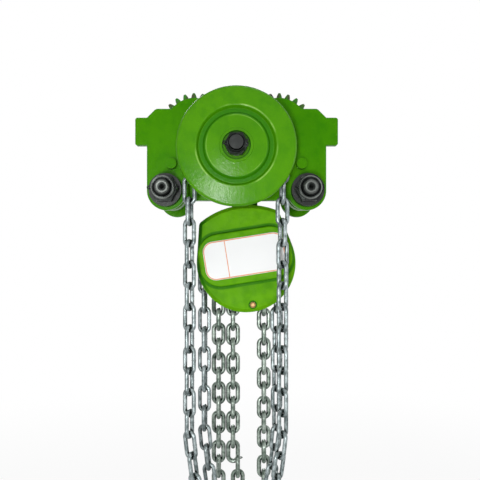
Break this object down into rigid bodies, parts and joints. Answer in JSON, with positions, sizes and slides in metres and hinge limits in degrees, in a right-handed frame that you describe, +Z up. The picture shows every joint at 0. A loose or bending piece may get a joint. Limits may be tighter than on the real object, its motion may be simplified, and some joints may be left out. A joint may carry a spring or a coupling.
{
  "type": "trolley chain hoist",
  "caption": "Hand-chain hoist hung under a geared beam trolley: one chain loop rolls the trolley along an I-beam flange, the other turns a braked gear train that lifts a latched hook.",
  "frame": {"origin": "on the beam flange's running surface, midway along the trolley and in the plane of the beam's web", "axes": "+X along the beam to the right, +Z up; the hand chains hang on the front, at -Y"},
  "size_m": [0.251, 0.2145, 0.6799],
  "materials": {
    "green_paint": "gloss green enamel",
    "cast_wheel": "machined cast iron",
    "black_steel": "black oxide with worn edges",
    "bright_steel": "machined steel",
    "hand_chain_zinc": "galvanised",
    "load_chain_steel": "hardened chain steel",
    "bush_bronze": "sintered bronze",
    "cover_brass": "plain brass",
    "label_face": "bare white label with a border",
    "friction_lining": "moulded lining"
  },
  "bodies": {
    "trolley_frame": {"front_side_plate": "green_paint", "rear_side_plate": "green_paint", "wheel_axles": "bright_steel", "axle_rings": "bright_steel", "axle_nuts": "black_steel", "wheel_bearings": "bright_steel", "pinion_bush": "bush_bronze", "suspension_bolts": "black_steel", "suspension_nuts": "black_steel", "suspension_split_pins": "bright_steel", "adjusting_washers": "black_steel", "spacer_tubes": "black_steel", "hanger_bar": "green_paint", "trolley_hand_chain": "hand_chain_zinc"},
    "trolley_drive": {"pinion_shaft": "bright_steel", "trolley_hand_wheel": "green_paint", "hand_wheel_washer": "black_steel", "hand_wheel_nut": "black_steel", "hand_wheel_split_pin": "bright_steel"},
    "wheel_geared_left": {"geared_wheel_left": "cast_wheel"},
    "wheel_geared_right": {"geared_wheel_right": "cast_wheel"},
    "wheel_plain_left": {"plain_wheel_left": "cast_wheel"},
    "wheel_plain_right": {"plain_wheel_right": "cast_wheel"},
    "hoist_frame": {"front_frame_plate": "green_paint", "rear_frame_plate": "green_paint", "sheave_bearings": "bright_steel", "stay_bolts": "bright_steel", "stay_nuts": "black_steel", "swing_pin": "bright_steel", "chain_pins": "bright_steel", "chain_stripper": "bright_steel", "hand_wheel_cover": "green_paint", "label_plate": "label_face", "cover_nut": "cover_brass", "pawl_pins": "bright_steel", "pawl_springs": "bright_steel", "gear_bushes": "bush_bronze", "gear_cover": "green_paint", "gear_cover_screws": "bright_steel", "load_chain": "load_chain_steel", "hoist_hand_chain": "hand_chain_zinc", "block_front_half": "green_paint", "block_rear_half": "green_paint", "block_bolts": "black_steel"},
    "hoist_drive": {"drive_shaft": "bright_steel", "brake_hub": "bright_steel", "friction_discs": "friction_lining", "ratchet_disc": "bright_steel", "hoist_hand_wheel": "green_paint", "drive_nut": "bright_steel"},
    "reduction_left": {"second_gear_left": "bright_steel"},
    "reduction_right": {"second_gear_right": "bright_steel"},
    "sheave": {"load_sheave": "bright_steel", "load_gear": "bright_steel"},
    "pawl_upper": {"upper_pawl": "bright_steel"},
    "pawl_lower": {"lower_pawl": "bright_steel"},
    "hook": {"load_hook": "black_steel", "latch_pin": "bright_steel", "latch_spring": "bright_steel"},
    "latch": {"hook_latch": "bright_steel"}
  },
  "joints": [
    {"name": "trolley_drive_turn", "type": "hinge", "parent": "trolley_frame", "child": "trolley_drive", "pos_m": [0, 0, -0.00087], "axis": [0, -1, 0], "continuous": true},
    {"name": "geared_left_roll", "type": "hinge", "parent": "trolley_frame", "child": "wheel_geared_left", "pos_m": [-0.052, 0, 0.0315], "axis": [0, -1, 0], "continuous": true},
    {"name": "geared_right_roll", "type": "hinge", "parent": "trolley_frame", "child": "wheel_geared_right", "pos_m": [0.052, 0, 0.0315], "axis": [0, -1, 0], "continuous": true},
    {"name": "plain_left_roll", "type": "hinge", "parent": "trolley_frame", "child": "wheel_plain_left", "pos_m": [-0.052, 0, 0.0315], "axis": [0, -1, 0], "continuous": true},
    {"name": "plain_right_roll", "type": "hinge", "parent": "trolley_frame", "child": "wheel_plain_right", "pos_m": [0.052, 0, 0.0315], "axis": [0, -1, 0], "continuous": true},
    {"name": "hoist_swing", "type": "hinge", "parent": "trolley_frame", "child": "hoist_frame", "pos_m": [0.0106, 0, -0.074], "axis": [0, -1, 0], "range_deg": [-20, 12]},
    {"name": "hoist_drive_turn", "type": "hinge", "parent": "hoist_frame", "child": "hoist_drive", "pos_m": [0.005, 0, -0.13447], "axis": [0, -1, 0], "continuous": true},
    {"name": "reduction_left_turn", "type": "hinge", "parent": "hoist_frame", "child": "reduction_left", "pos_m": [-0.02167, 0, -0.13869], "axis": [0, -1, 0], "continuous": true},
    {"name": "reduction_right_turn", "type": "hinge", "parent": "hoist_frame", "child": "reduction_right", "pos_m": [0.03167, 0, -0.13025], "axis": [0, -1, 0], "continuous": true},
    {"name": "sheave_turn", "type": "hinge", "parent": "hoist_frame", "child": "sheave", "pos_m": [0.005, 0, -0.13447], "axis": [0, -1, 0], "continuous": true},
    {"name": "upper_pawl_lift", "type": "hinge", "parent": "hoist_frame", "child": "pawl_upper", "pos_m": [0.04523, 0, -0.11217], "axis": [0, -1, 0], "range_deg": [-20, 0], "stiffness_Nm_per_rad": 0.05, "springref_deg": 20.05},
    {"name": "lower_pawl_lift", "type": "hinge", "parent": "hoist_frame", "child": "pawl_lower", "pos_m": [-0.03523, 0, -0.15677], "axis": [0, -1, 0], "range_deg": [-20, 0], "stiffness_Nm_per_rad": 0.05, "springref_deg": 20.05},
    {"name": "hook_swivel", "type": "hinge", "parent": "hoist_frame", "child": "hook", "pos_m": [0.03644, 0, -0.51577], "axis": [0, 0, 1], "continuous": true},
    {"name": "latch_open", "type": "hinge", "parent": "hook", "child": "latch", "pos_m": [0.03944, 0, -0.53927], "axis": [0, -1, 0], "range_deg": [-30, 0], "stiffness_Nm_per_rad": 0.05, "springref_deg": 20.05}
  ],
  "couplings": [
    {"joint": "geared_left_roll", "follows": "trolley_drive_turn", "ratio": -0.45833},
    {"joint": "geared_right_roll", "follows": "trolley_drive_turn", "ratio": -0.45833},
    {"joint": "reduction_left_turn", "follows": "hoist_drive_turn", "ratio": -0.38461},
    {"joint": "reduction_right_turn", "follows": "hoist_drive_turn", "ratio": -0.38461},
    {"joint": "sheave_turn", "follows": "hoist_drive_turn", "ratio": 0.19231}
  ]
}
